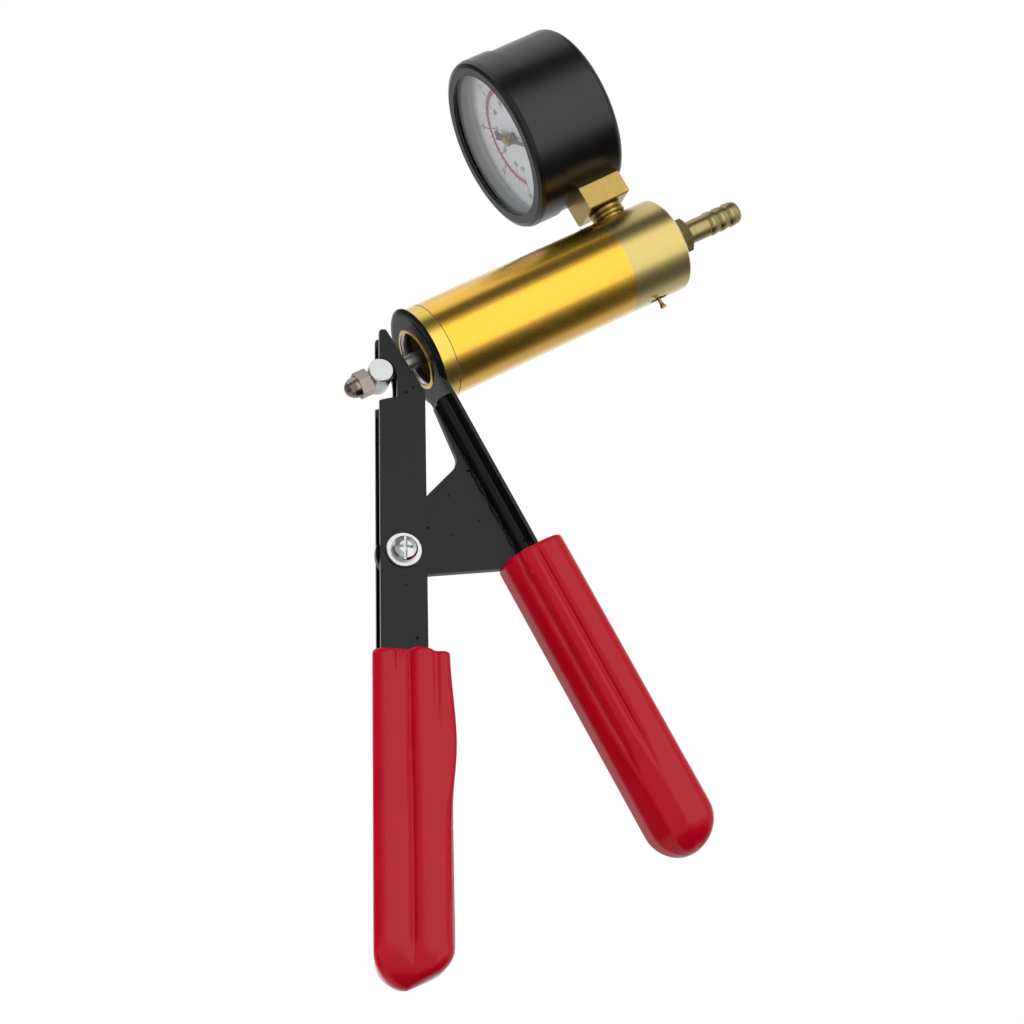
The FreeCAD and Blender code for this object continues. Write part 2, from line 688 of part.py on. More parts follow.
def make_spring(label, start, stop, radius, wire, turns):
    """Round-wire compression spring along X."""
    helix = doc.addObject("Part::Helix", f"{label}_line")
    length = stop - start - wire * 2
    bind(helix, "Height", length)
    bind(helix, "Radius", radius)
    bind(helix, "Pitch", length / turns)
    section = doc.addObject("Part::Circle", f"{label}_wire")
    bind(section, "Radius", wire)
    section.Placement = Placement(Vector(radius.value, 0, 0), Rotation(X_AXIS, 90))
    spring = doc.addObject("Part::Sweep", label)
    spring.Label = label
    spring.Sections = [section]
    doc.recompute()
    spring.Spine = (helix, [f"Edge{k + 1}" for k in range(len(helix.Shape.Edges))])
    spring.Solid = True
    spring.Frenet = True
    spring.Placement = Placement(Vector((start + wire).value, 0, 0), Rotation(Y_AXIS, 90))


# ------------------------------------------------------------------ inlet check valve
def make_inlet_check():
    """Ball, spring and retainer in the end cap's pocket."""
    start = size("barrel_end") - size("spigot_length")
    pocket_radius = size("cap_pocket_radius")
    hole = Size.of(1.6)
    turn(new_body("inlet_check_retainer"), [(start, hole), (start + 1.2, hole), (start + 1.2, pocket_radius),
                                            (start, pocket_radius)])
    ball = doc.addObject("Part::Sphere", "inlet_check_ball")
    ball.Label = "inlet_check_ball"
    bind(ball, "Radius", size("valve_seat_radius") * 2)
    centre = size("cap_pocket_end") + 0.35
    ball.Placement = Placement(Vector(centre.value, 0, 0), Rotation())
    ball.setExpression("Placement.Base.x", centre.text)
    make_spring("inlet_check_spring", start + 1.2, centre - 1.3, Size.of(2.2), Size.of(0.35), 3)


# ------------------------------------------------------------------ release valve
cap_frame = Placement(Vector(), Rotation(X_AXIS, SIZES["head_clocking"]))
release_frame = cap_frame.multiply(Placement(Vector(SIZES["stem_x"], 0, 0), Rotation()))


def make_release_pin():
    """Pin with a flared head outside and the valve disc inside; pushing it sideways lets air in."""
    radius, head, reach = size("release_pin_radius"), size("release_head_radius"), size("release_reach")
    disc = size("release_disc_radius")
    turn(new_body("release_pin", release_frame), [
        (0, -1.4), (disc, -1.4), (disc, -2.0), (radius, -2.0), (radius, 1.6 - reach.value), (head, 0.5 - reach.value),
        (head, -reach), (0, -reach)], axis="V_Axis")


def make_release_seal():
    middle, outer = size("release_pivot"), size("release_hole_radius")
    inner = size("release_pin_radius") + 0.12
    turn(new_body("release_seal", release_frame), [(inner, 0.4 - middle.value), (outer, 0.4 - middle.value),
                                                   (outer, -middle - 0.4), (inner, -middle - 0.4)], axis="V_Axis")


# ------------------------------------------------------------------ gauge
gauge_frame = release_frame.multiply(Placement(Vector(), Rotation(Z_AXIS, SIZES["gauge_yaw"])))
dial_centre = Placement(Vector(0, SIZES["gauge_height"], 0), Rotation())


def make_gauge_stem():
    """Brass socket: thread, ringed neck, square block and the post inside the case."""
    body = new_body("gauge_stem", gauge_frame)
    thread, neck, start = size("stem_thread"), size("neck_radius"), size("stem_start")
    seat, block = size("barrel_radius") + 0.05, size("block_start")
    half_ring = (block - seat) / 4
    points = [(0, start), (thread - 0.6, start), (thread, start + 0.6), (thread, seat)]
    for middle in (seat + half_ring, seat + half_ring * 3):
        for bulge in (-75, -45, -15, 15, 45, 75):
            swell, climb = math.cos(math.radians(bulge)), math.sin(math.radians(bulge))
            points.append((neck - 0.9 + 0.9 * swell, middle + half_ring * climb))
    points += [(neck - 0.9, block + 0.5), (0, block + 0.5)]
    turn(body, points, axis="V_Axis")
    block_outline = new_sketch(body, "XY", Placement(Vector(0, 0, block.value), Rotation()))
    draw_rectangle(block_outline, size("block_side"), size("block_side"))
    pad(body, block_outline, size("block_end") - block)
    round_edges(body, 0.8, lambda edge: abs(edge.BoundBox.ZMax - block.value) < 0.01 and edge.BoundBox.ZLength < 0.01
                and 10 < edge.Length < 20)
    post = new_sketch(body, "XY", Placement(Vector(0, 0, size("block_end").value), Rotation()))
    draw_rectangle(post, 7, 7)
    pad(body, post, size("post_end") - size("block_end"))
    way = new_sketch(body, "XY", Placement(Vector(0, 0, start.value - 1), Rotation()))
    draw_circle(way, 1.2)
    pocket(body, way, size("post_end") - start - 1, reverse=True)


def make_gauge_case():
    """Pressed cup, open at the dial."""
    body = new_body("gauge_case", gauge_frame)
    outer, wall, back = size("case_radius"), size("case_wall"), size("gauge_back")
    start = 3.0 - size("gauge_front").value
    turn(body, [(start, outer - wall), (back - wall, outer - wall), (back - wall, 0), (back, 0), (back, outer),
                (start, outer)], offset=dial_centre)
    round_edges(body, 2.5, lambda edge: abs(edge.BoundBox.XMin - back.value) < 0.01 and edge.Length > 100)
    opening = new_sketch(body, "XY")
    draw_rectangle(opening, size("block_side"), size("block_side"))
    pocket(body, opening, size("block_end"), reverse=True)


def make_gauge_bezel():
    body = new_body("gauge_bezel", gauge_frame)
    outer, inside, opening = size("bezel_radius"), size("case_radius"), size("bezel_opening")
    front = -size("gauge_front")
    rear, lip = front + size("bezel_length"), front + 1.5
    turn(body, [(front, opening), (front, outer - 2), (front + 0.6, outer - 0.6), (front + 2, outer), (rear, outer),
                (rear, inside), (lip, inside), (lip, opening + 0.4), (front + 0.8, opening)], offset=dial_centre)


def make_gauge_window():
    front = 1.5 - size("gauge_front").value
    rim = size("case_radius")
    turn(new_body("gauge_window", gauge_frame), [(front, 0), (front + 1.5, 0), (front + 1.5, rim), (front, rim)],
         offset=dial_centre)


def make_gauge_dial():
    front = size("dial_depth") - size("gauge_front")
    rim = size("case_radius") - size("case_wall")
    turn(new_body("gauge_dial", gauge_frame), [(front, 1.8), (front + 0.8, 1.8), (front + 0.8, rim), (front, rim)],
         offset=dial_centre)


def make_movement_frame():
    """Two brass plates on pillars that carry the pointer's spindle, on the front of the post."""
    body = new_body("movement_frame", gauge_frame)
    height = SIZES["gauge_height"]
    for front, low, high in ((-5.0, 36.0, height + 6), (-11.5, height - 12, height + 6)):
        plate = new_sketch(body, "YZ", Placement(Vector(0, 0, front), Rotation()))
        draw_outline(plate, [(-7, low), (7, low), (7, high), (-7, high)])
        pad(body, plate, 1.5)
        if front == -5.0:
            pillars = new_sketch(body, "YZ", Placement(Vector(0, 0, -10.5), Rotation()))
            for side in (-1, 1):
                draw_circle(pillars, 1.4, (5 * side, height - 10))
                draw_circle(pillars, 1.4, (5 * side, height + 4.2))
            pad(body, pillars, 6)
    bearing = new_sketch(body, "YZ", Placement(Vector(0, 0, -13), Rotation()))
    draw_circle(bearing, 0.95, (0, height))
    pocket(body, bearing, 10, reverse=True)


def make_bourdon_tube():
    """Flattened tube bent to a C, from the post round behind the dial."""
    frame = gauge_frame.multiply(Placement(Vector(0, 0, SIZES["gauge_height"]), Rotation(X_AXIS, -90 + 12)))
    body = new_body("bourdon_tube", frame)
    sketch = new_sketch(body, "XY")
    draw_rectangle(sketch, 6, 2.4, (0, 19))
    feature = body.newObject("PartDesign::Revolution", "Bend")
    feature.Profile = sketch
    feature.ReferenceAxis = (sketch, ["H_Axis"])
    feature.Angle = 250.0
    round_edges(body, 1.0, lambda edge: edge.Length > 40)


pointer_frame = gauge_frame.multiply(Placement(Vector(0, 0, SIZES["gauge_height"]), Rotation(X_AXIS, 127.5)))


def make_pointer():
    """Needle with a hub and a broad tail, just in front of the dial."""
    body = new_body("pointer", pointer_frame)
    face = size("dial_depth").value - size("gauge_front").value - 2.6
    length = size("pointer_length")
    needle = new_sketch(body, "YZ", Placement(Vector(0, 0, face), Rotation()))
    draw_outline(needle, [(-0.9, 0), (-1.6, -9), (1.6, -9), (0.9, 0), (0.25, length), (-0.25, length)])
    pad(body, needle, 0.5)
    hub = new_sketch(body, "YZ", Placement(Vector(0, 0, face - 0.5), Rotation()))
    draw_circle(hub, 2.2)
    pad(body, hub, 1.6)
    hole = new_sketch(body, "YZ", Placement(Vector(0, 0, face - 2), Rotation()))
    draw_circle(hole, 0.9)
    pocket(body, hole, 6, reverse=True)


def make_pointer_spindle():
    front = size("dial_depth").value - size("gauge_front").value - 3.2
    turn(new_body("pointer_spindle", pointer_frame), [(front, 0), (front, 0.9), (-3.6, 0.9), (-3.6, 0)])


make_barrel()
make_front_collar()
make_rod_guide()
make_end_cap()
make_end_cap_oring()
make_hose_barb()
make_fixed_handle()
make_pivot_gusset()
make_fixed_grip()
make_moving_lever()
make_moving_grip()
make_pivot_bush()
make_thrust_washers()
make_pivot_screw()
make_pivot_washer()
make_pivot_nut()
make_piston_rod()
make_trunnion_pin()
make_acorn_nut()
make_piston_body()
make_piston_seal()
make_exhaust_flap()
make_spring("return_spring", size("barrel_start") + size("spigot_length"), size("piston_front") - 0.6,
            size("spring_radius"), size("spring_wire"), 9)
make_inlet_check()
make_release_pin()
make_release_seal()
make_gauge_stem()
make_gauge_case()
make_gauge_bezel()
make_gauge_window()
make_gauge_dial()
make_movement_frame()
make_bourdon_tube()
make_pointer()
make_pointer_spindle()
doc.recompute()

faults = [item.Label for item in doc.Objects if "Invalid" in item.State or "Error" in item.State]
if faults:
    raise RuntimeError(f"features in error: {faults}")

SUB_PARTS = ("PartDesign::Body", "Part::Torus", "Part::Sphere", "Part::Sweep")
os.makedirs("parts", exist_ok=True)
for item in doc.Objects:
    if item.TypeId not in SUB_PARTS:
        continue
    if item.Shape.isNull() or not item.Shape.isValid():
        raise RuntimeError(f"{item.Label} has no valid shape")
    item.Shape.exportStep(f"parts/{item.Label}.step")
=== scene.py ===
"""Looks of the hand vacuum pump: soft grips, dial, materials, light and camera round the CAD frame."""
import json
import math
import random

import bmesh
import bpy
from mathutils import Matrix, Vector


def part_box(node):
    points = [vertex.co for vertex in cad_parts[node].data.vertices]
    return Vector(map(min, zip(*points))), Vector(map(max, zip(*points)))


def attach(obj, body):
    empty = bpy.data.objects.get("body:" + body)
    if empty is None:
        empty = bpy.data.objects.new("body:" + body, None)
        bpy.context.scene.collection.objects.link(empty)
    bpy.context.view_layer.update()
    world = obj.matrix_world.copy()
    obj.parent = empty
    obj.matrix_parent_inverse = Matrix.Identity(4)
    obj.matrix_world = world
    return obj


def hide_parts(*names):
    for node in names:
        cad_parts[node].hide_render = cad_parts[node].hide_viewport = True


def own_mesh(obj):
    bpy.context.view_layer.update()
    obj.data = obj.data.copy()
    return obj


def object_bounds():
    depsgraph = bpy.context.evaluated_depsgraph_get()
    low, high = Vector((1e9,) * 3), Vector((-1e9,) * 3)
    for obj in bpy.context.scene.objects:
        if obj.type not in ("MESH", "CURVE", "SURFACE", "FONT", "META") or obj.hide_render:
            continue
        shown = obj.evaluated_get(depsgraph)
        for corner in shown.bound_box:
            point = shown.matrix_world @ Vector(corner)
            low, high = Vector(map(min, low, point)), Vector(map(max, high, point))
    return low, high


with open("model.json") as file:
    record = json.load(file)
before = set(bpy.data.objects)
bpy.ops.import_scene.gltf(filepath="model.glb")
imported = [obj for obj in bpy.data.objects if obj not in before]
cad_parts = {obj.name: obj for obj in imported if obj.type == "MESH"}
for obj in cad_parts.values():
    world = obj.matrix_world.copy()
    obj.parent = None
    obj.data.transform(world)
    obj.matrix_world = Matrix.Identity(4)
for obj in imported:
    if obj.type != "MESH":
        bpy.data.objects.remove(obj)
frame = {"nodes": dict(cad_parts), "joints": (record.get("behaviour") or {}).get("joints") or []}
cad_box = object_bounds()
joints = {joint["name"]: joint for joint in frame["joints"]}

# ------------------------------------------------------------------ materials
GOLD = (0.88, 0.50, 0.022)
COLLAR_GOLD = (0.80, 0.54, 0.06)
PALE_GOLD = (0.62, 0.47, 0.14)
BRASS = (0.42, 0.29, 0.09)
BARB_BRASS = (0.40, 0.32, 0.14)
STEEL = (0.60, 0.61, 0.61)
DARK_NICKEL = (0.30, 0.26, 0.235)
BLACK = (0.007, 0.006, 0.007)
CASE_BLACK = (0.005, 0.004, 0.005)
POINTER_BLACK = (0.05, 0.05, 0.06)
RED = (0.58, 0.002, 0.017)
DIAL_WHITE = (0.86, 0.88, 0.92)
DIAL_GRAY = (0.44, 0.48, 0.49)
SCALE_RED = (0.50, 0.12, 0.15)
SCALE_INK = (0.10, 0.10, 0.11)
RUBBER = (0.02, 0.02, 0.02)
NATURAL = (0.72, 0.69, 0.62)
FLOOR_WHITE = (0.9, 0.9, 0.9)


def new_material(name):
    """A material with its node tree and its shader."""
    material = bpy.data.materials.new(name)
    material.use_nodes = True
    tree = material.node_tree
    return material, tree, tree.nodes["Principled BSDF"]


def add_noise(tree, scale, detail=3.0, stretch=(1, 1, 1)):
    """Noise over the object's own coordinates; scale is in features per metre."""
    place = tree.nodes.new("ShaderNodeTexCoord")
    mapping = tree.nodes.new("ShaderNodeMapping")
    mapping.inputs["Scale"].default_value = stretch
    texture = tree.nodes.new("ShaderNodeTexNoise")
    texture.inputs["Scale"].default_value = scale
    texture.inputs["Detail"].default_value = detail
    tree.links.new(place.outputs["Object"], mapping.inputs["Vector"])
    tree.links.new(mapping.outputs["Vector"], texture.inputs["Vector"])
    return texture


def add_ramp(tree, source, stops):
    """A colour ramp from [(position, colour)] on a source socket."""
    ramp = tree.nodes.new("ShaderNodeValToRGB")
    ramp.color_ramp.elements[0].position, ramp.color_ramp.elements[1].position = stops[0][0], stops[-1][0]
    ramp.color_ramp.elements[0].color = (*stops[0][1], 1)
    ramp.color_ramp.elements[1].color = (*stops[-1][1], 1)
    tree.links.new(source, ramp.inputs["Fac"])
    return ramp


def add_bump(tree, shader, source, strength, distance):
    """Bump from a source socket."""
    bump = tree.nodes.new("ShaderNodeBump")
    bump.inputs["Strength"].default_value = strength
    bump.inputs["Distance"].default_value = distance
    tree.links.new(source, bump.inputs["Height"])
    tree.links.new(bump.outputs["Normal"], shader.inputs["Normal"])
    return bump


def add_specks(material, spacing, radius, height):
    """Dust caught in the paint: a raised dot wherever a scattered point lies close to the surface."""
    tree = material.node_tree
    shader = tree.nodes["Principled BSDF"]
    place = tree.nodes.new("ShaderNodeTexCoord")
    scatter = tree.nodes.new("ShaderNodeTexVoronoi")
    scatter.inputs["Scale"].default_value = 1 / spacing
    dot = tree.nodes.new("ShaderNodeMapRange")
    dot.interpolation_type = "SMOOTHSTEP"
    for socket, value in (("From Max", radius / spacing), ("To Min", 1.0), ("To Max", 0.0)):
        dot.inputs[socket].default_value = value
    relief = shader.inputs["Normal"].links[0].from_socket
    tree.links.new(place.outputs["Object"], scatter.inputs["Vector"])
    tree.links.new(scatter.outputs["Distance"], dot.inputs["Value"])
    raised = add_bump(tree, shader, dot.outputs["Result"], 1.0, height)
    tree.links.new(relief, raised.inputs["Normal"])


def shade(colour, factor):
    return tuple(channel * factor for channel in colour)


def surface(name, colour, roughness, metallic=0.0, scale=300.0, stretch=(1, 1, 1), variation=0.12,
            rough_spread=0.06, bump=0.1, bump_distance=0.0001, turned_finish=0.0,
            coat=0.0, specular=0.5):
    """A procedural surface: its colour, its roughness and its relief all vary with one noise."""
    material, tree, shader = new_material(name)
    texture = add_noise(tree, scale, stretch=stretch)
    ramp = add_ramp(tree, texture.outputs["Fac"], [(0.3, shade(colour, 1 - variation)),
                                                   (0.7, shade(colour, 1 + variation))])
    tree.links.new(ramp.outputs["Color"], shader.inputs["Base Color"])
    spread = tree.nodes.new("ShaderNodeMapRange")
    spread.inputs["To Min"].default_value = roughness - rough_spread
    spread.inputs["To Max"].default_value = roughness + rough_spread
    tree.links.new(texture.outputs["Fac"], spread.inputs["Value"])
    tree.links.new(spread.outputs["Result"], shader.inputs["Roughness"])
    shader.inputs["Metallic"].default_value = metallic
    shader.inputs["Specular IOR Level"].default_value = specular
    shader.inputs["Coat Weight"].default_value = coat
    shader.inputs["Coat Roughness"].default_value = 0.3
    if turned_finish:
        shader.inputs["Anisotropic"].default_value = turned_finish
        shader.inputs["Anisotropic Rotation"].default_value = 0.25
        tangent = tree.nodes.new("ShaderNodeTangent")
        tangent.direction_type = "RADIAL"
        tangent.axis = "X"
        tree.links.new(tangent.outputs["Tangent"], shader.inputs["Tangent"])
    add_bump(tree, shader, texture.outputs["Fac"], bump, bump_distance)
    return material


gold = surface("anodised_gold", GOLD, 0.27, metallic=1.0, scale=250, stretch=(0.15, 1, 1),
               variation=0.04, bump=0.03, turned_finish=0.7, coat=1.0)
collar_gold = surface("collar_gold", COLLAR_GOLD, 0.30, metallic=1.0, scale=250,
                      variation=0.04, bump=0.03, turned_finish=0.6, coat=1.0)
pale_gold = surface("pale_gold", PALE_GOLD, 0.32, metallic=1.0, scale=900, stretch=(3, 0.4, 0.4),
                    variation=0.04, bump=0.05, turned_finish=0.6, coat=1.0)
barb_brass = surface("barb_brass", BARB_BRASS, 0.34, metallic=1.0, scale=500, variation=0.12)
brass = surface("machined_brass", BRASS, 0.28, metallic=1.0, scale=500, variation=0.10)
steel = surface("turned_steel", STEEL, 0.30, metallic=1.0, scale=500, variation=0.08)
dark_nickel = surface("dark_nickel", DARK_NICKEL, 0.25, metallic=1.0, scale=400, variation=0.10)
enamel = surface("black_enamel", BLACK, 0.24, scale=45, variation=0.4, rough_spread=0.10, bump=0.10,
                 bump_distance=0.0004, specular=0.26)
add_specks(enamel, spacing=0.006, radius=0.0006, height=0.0004)
case_black = surface("case_black", CASE_BLACK, 0.29, scale=60, variation=0.2, bump=0.04)
red_vinyl = surface("red_vinyl", RED, 0.20, scale=90, variation=0.03, bump=0.06, bump_distance=0.0002,
                    specular=0.25)
dial_white = surface("dial_white", DIAL_WHITE, 0.55, scale=200, variation=0.02)
dial_gray = surface("dial_gray", DIAL_GRAY, 0.5, scale=200, variation=0.04)
scale_red = surface("scale_red", SCALE_RED, 0.5, scale=900, variation=0.08)
scale_ink = surface("scale_ink", SCALE_INK, 0.5, scale=900, variation=0.2)
rubber = surface("black_rubber", RUBBER, 0.6, scale=600)
natural = surface("natural_acetal", NATURAL, 0.45, scale=300)
pointer_black = surface("pointer_black", POINTER_BLACK, 0.4, scale=400)


def make_clear():
    """Clear window: it passes light straight through and keeps a faint gloss towards its edge."""
    material, tree, _ = new_material("clear_window")
    clear = tree.nodes.new("ShaderNodeBsdfTransparent")
    gloss = tree.nodes.new("ShaderNodeBsdfGlossy")
    gloss.inputs["Roughness"].default_value = 0.04
    edge = tree.nodes.new("ShaderNodeLayerWeight")
    amount = tree.nodes.new("ShaderNodeMapRange")
    amount.inputs["To Max"].default_value = 0.20
    mix = tree.nodes.new("ShaderNodeMixShader")
    tree.links.new(edge.outputs["Facing"], amount.inputs["Value"])
    tree.links.new(amount.outputs["Result"], mix.inputs["Fac"])
    tree.links.new(clear.outputs["BSDF"], mix.inputs[1])
    tree.links.new(gloss.outputs["BSDF"], mix.inputs[2])
    tree.links.new(mix.outputs["Shader"], tree.nodes["Material Output"].inputs["Surface"])
    return material


clear = make_clear()

NODE_MATERIALS = {
    "barrel_tube": gold, "front_collar": collar_gold, "end_cap": pale_gold, "hose_barb": barb_brass,
    "gauge_stem": brass, "release_pin": brass, "movement_frame": brass, "bourdon_tube": brass,
    "pointer_spindle": brass,
    "inlet_check_retainer": brass, "fixed_handle": enamel, "pivot_gusset": enamel, "moving_lever": enamel,
    "gauge_case": case_black, "gauge_bezel": case_black, "gauge_window": clear, "gauge_dial": dial_white,
    "pointer": pointer_black, "pivot_screw": steel, "pivot_washer": steel, "pivot_nut": steel,
    "pivot_bush": steel, "piston_rod": steel, "trunnion_pin": steel, "acorn_nut": dark_nickel,
    "return_spring": steel, "inlet_check_ball": steel, "inlet_check_spring": steel, "rod_guide": rubber,
    "end_cap_oring": rubber, "piston_seal": rubber, "exhaust_flap": rubber, "release_seal": rubber,
    "piston_body": natural, "thrust_washer_front": natural, "thrust_washer_back": natural,
}
for name, material in NODE_MATERIALS.items():
    mesh = frame["nodes"][name].data
    mesh.materials.clear()
    mesh.materials.append(material)

# ------------------------------------------------------------------ local frames, in millimetres
MM = Matrix.Scale(0.001, 4)
pivot = Vector(joints["lever_pivot"]["pos_m"])
LEVER_LEAN, STRIP_LEAN = math.radians(30.4), math.radians(3.0)
LEVER = Matrix.Translation(pivot) @ Matrix.Rotation(LEVER_LEAN, 4, "Y") @ MM
STRIP = Matrix.Translation((0, 0, -0.020)) @ Matrix.Rotation(STRIP_LEAN, 4, "Y") @ MM
CLOCKING, YAW = math.radians(4.2), math.radians(-3.0)
GAUGE = (Matrix.Translation(joints["gauge_pointer"]["pos_m"]) @ Matrix.Rotation(CLOCKING, 4, "X")
         @ Matrix.Rotation(YAW, 4, "Z") @ MM)


def add_piece(name, shape, place, material, body, smooth=True):
    """A bmesh in millimetres becomes a named piece that rides on a CAD body."""
    bmesh.ops.recalc_face_normals(shape, faces=shape.faces)
    for face in shape.faces:
        face.smooth = smooth
    shape.transform(place)
    mesh = bpy.data.meshes.new(name)
    shape.to_mesh(mesh)
    shape.free()
    mesh.materials.append(material)
    piece = bpy.data.objects.new(name, mesh)
    bpy.context.scene.collection.objects.link(piece)
    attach(piece, body)
    return piece


def loft(rings, close_start=True, close_end=True):
    """Skin over rings of equal length, with flat or shrunken ends."""
    shape = bmesh.new()
    rows = [[shape.verts.new(point) for point in ring] for ring in rings]
    count = len(rows[0])
    for row, following in zip(rows, rows[1:]):
        for i in range(count):
            j = (i + 1) % count
            shape.faces.new((row[i], row[j], following[j], following[i]))
    if close_start:
        shape.faces.new(rows[0])
    if close_end:
        shape.faces.new(reversed(rows[-1]))
    return shape


def track(at, *stops):
    """Smooth value at a place along a piece, from (place, value) stops."""
    if at <= stops[0][0]:
        return stops[0][1]
    for (low, start), (high, stop) in zip(stops, stops[1:]):
        if at <= high:
            share = (at - low) / (high - low)
            return start + (stop - start) * share * share * (3 - 2 * share)
    return stops[-1][1]


# ------------------------------------------------------------------ grips
RING_POINTS = 200


def section(corners):
    """Closed outline of rounded (x, y, radius) corners, as evenly spaced points from the first corner on."""
    bends = []
    for before, here, after in zip(corners[-1:] + corners[:-1], corners, corners[1:] + corners[:1]):
        tip = Vector(here[:2])
        back, on = (Vector(other[:2]) - tip for other in (before, after))
        reach = min(here[2] / math.tan(back.angle(on) / 2), back.length / 2, on.length / 2)
        start, stop = tip + back.normalized() * reach, tip + on.normalized() * reach
        for step in range(9):
            share = step / 8
            bends.append(start * (1 - share) ** 2 + tip * 2 * share * (1 - share) + stop * share ** 2)
    bends.append(bends[0])
    lengths = [0.0]
    for first, second in zip(bends, bends[1:]):
        lengths.append(lengths[-1] + (second - first).length)
    points, leg = [], 0
    for i in range(RING_POINTS):
        goal = lengths[-1] * i / RING_POINTS
        while lengths[leg + 1] < goal:
            leg += 1
        share = (goal - lengths[leg]) / max(lengths[leg + 1] - lengths[leg], 1e-9)
        points.append(bends[leg].lerp(bends[leg + 1], share))
    return points


def both_sides(corners):
    """Corners of the near side, right to left, followed by their mirror images on the far side."""
    near = [(x, -y, radius) for x, y, radius in corners]
    return near + [(x, y, radius) for x, y, radius in reversed(corners)]


def dome(along, bend, stop):
    """Share of the full section that is left near a rounded end."""
    return math.sqrt(max(0.0004, 1 - (max(0.0, along - bend) / (stop - bend)) ** 2))


def lever_grip_ring(along):
    """Section of the moving grip: two soft lobes a side, parted by a long crease."""
    left = 0.4 - 11.6 * dome(along, 130.0, 140.5)
    if along <= 128:
        right = track(along, (34.6, 14.0), (64, 15.7), (84, 14.5), (128, 14.5))
    elif along < 134.5:
        right = 14.5 - 2.8 * ((along - 128) / 6.5) ** 2.4
    else:
        right = 11.7 - 11.2 * ((along - 134.5) / 6) ** 1.2
    half = 9.6 * dome(along, 126.0, 140.5)
    edge = track(along, (70, 2.0), (95, 5.2))
    main = track(along, (34.6, 0.8), (60, 0.9), (90, 1.3))
    fade = track(along, (122, 1.0), (137, 0.0))
    ring = []
    inset = 3.5 * dome(along, 130.0, 140.5)
    corners = [(right, -half, edge), (left, -half, 3.2), (left + inset, half, 5.0), (right, half, edge)]
    for x, y in section(corners):
        if abs(y) > half * 0.6:
            lobe = (x - main) / (right - main if x > main else main - left)
            sink = (1.5 * math.exp(-abs(x - main) / 1.4) + 0.7 * lobe * lobe) * fade
            sink += track(along, (36, 0.55), (80, 0.0)) * math.exp(-((x - 9.2) / 1.1) ** 2)
            sink += track(along, (36, 0.40), (47, 0.0)) * math.exp(-((x + 4.2) / 0.45) ** 2)
            sink += track(along, (36, 0.45), (44, 0.0)) * math.exp(-((x + 1.8) / 0.45) ** 2)
            y -= math.copysign(min(sink, abs(y)), y)
        ring.append((x, y, -along))
    return ring


def fixed_grip_ring(along):
    """Section of the fixed grip: flats over the folded handle inside, with two shallow grooves a side."""
    share_x, share_y = dome(along, 155.5, 166.8), dome(along, 154.5, 166.8)
    flats = [(8.9, 12.3, 5.5), (-2.7, 12.9, 5.0), (-8.4, 9.9, 4.0), (-11.6, 3.4, 3.4)]
    corners = [(-1 + (x + 1) * share_x, y * share_y, radius * share_y) for x, y, radius in flats]
    depth = track(along, (57, 0.7), (66, 1.0), (118, 1.0), (146, 0.0))
    ring = []
    for x, y in section(both_sides(corners)):
        for groove_x, groove_y, cut in ((-8.0, 9.9, 2.1), (-2.4, 12.7, 1.9)):
            pull = cut * depth * math.exp(-math.hypot(x - groove_x, abs(y) - groove_y) / 1.3)
            x, y = x + pull * 0.5, y - math.copysign(min(pull, abs(y)), y)
        ring.append((x, y, -along))
    return ring


def grip_shape(ring_at, start, stop, bend, opening, wave):
    """Grip from its open mouth to its closed end, with the mouth's wall turned in to the metal inside."""
    left, right, half = opening
    mouth = ring_at(start)
    middle = Vector(((left + right) / 2, 0))

    def drawn_in(amount, along):
        points = []
        for x, y, _ in mouth:
            pull = (Vector((x, y)) - middle).normalized() * amount
            points.append((x - pull.x, y - pull.y, wave(x) - along))
        return points

    def inside(along):
        return [(x, y, -along) for x, y in section(both_sides([(right, half, 1.0), (left, half, 1.0)]))]

    rings = [inside(start + 9), inside(start + 0.9), drawn_in(1.7, start + 0.3), drawn_in(0.9, start),
             drawn_in(0.3, start + 0.3), drawn_in(0.05, start + 0.9)]
    places = [start + 1.8 + (bend - start - 1.8) * i / 130 for i in range(131)]
    places += [bend + (stop - 0.01 - bend) * math.sin(math.pi / 2 * i / 40) for i in range(1, 41)]
    for along in places:
        share = max(0.0, 1 - (along - start) / 7)
        rings.append([(x, y, z + wave(x) * share) for x, y, z in ring_at(along)])
    return loft(rings, close_start=False)


def lever_wave(x):
    """Rise of the moving grip's mouth across its face."""
    return 1.1 * math.exp(-((x - 4.6) / 4.0) ** 2) - 0.3 * math.exp(-((x - 10.5) / 1.5) ** 2) - 0.1


moving_grip = add_piece("moving_grip_skin",
                        grip_shape(lever_grip_ring, 34.6, 140.5, 126.0, (-8.2, 8.2, 5.4), lever_wave),
                        LEVER, red_vinyl, "lever")
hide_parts("moving_grip")
fixed_grip = add_piece("fixed_grip_skin",
                       grip_shape(fixed_grip_ring, 57.0, 166.8, 152.0, (-7.0, 2.0, 10.4), lambda x: 0.0),
                       STRIP, red_vinyl, "housing")
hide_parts("fixed_grip")

# ------------------------------------------------------------------ welds
RIB_FACE, GUSSET_HALF = -4.3, 1.25
WELD_START, WELD_STEP, WELD_STEPS = 17.5, 0.28, 140


def weld_bead(side):
    """Lumpy bead along the corner between the gusset and the strip's rib, on one side of the gusset."""
    lumps = random.Random(4)
    rings = []
    size = 0.8
    for i in range(WELD_STEPS + 1):
        size = min(1.25, max(0.45, size + lumps.uniform(-0.28, 0.28)))
        if i in (0, WELD_STEPS):
            size = 0.1
        along = WELD_START + WELD_STEP * i
        ring = []
        for k in range(10):
            angle = k * math.pi / 5
            wide = size * (1 + lumps.uniform(-0.12, 0.12))
            ring.append((RIB_FACE - 0.1 + wide * 0.8 * math.cos(angle),
                         side * (GUSSET_HALF + wide * 0.6 * math.sin(angle)), -along))
        rings.append(ring)
    return loft(rings)


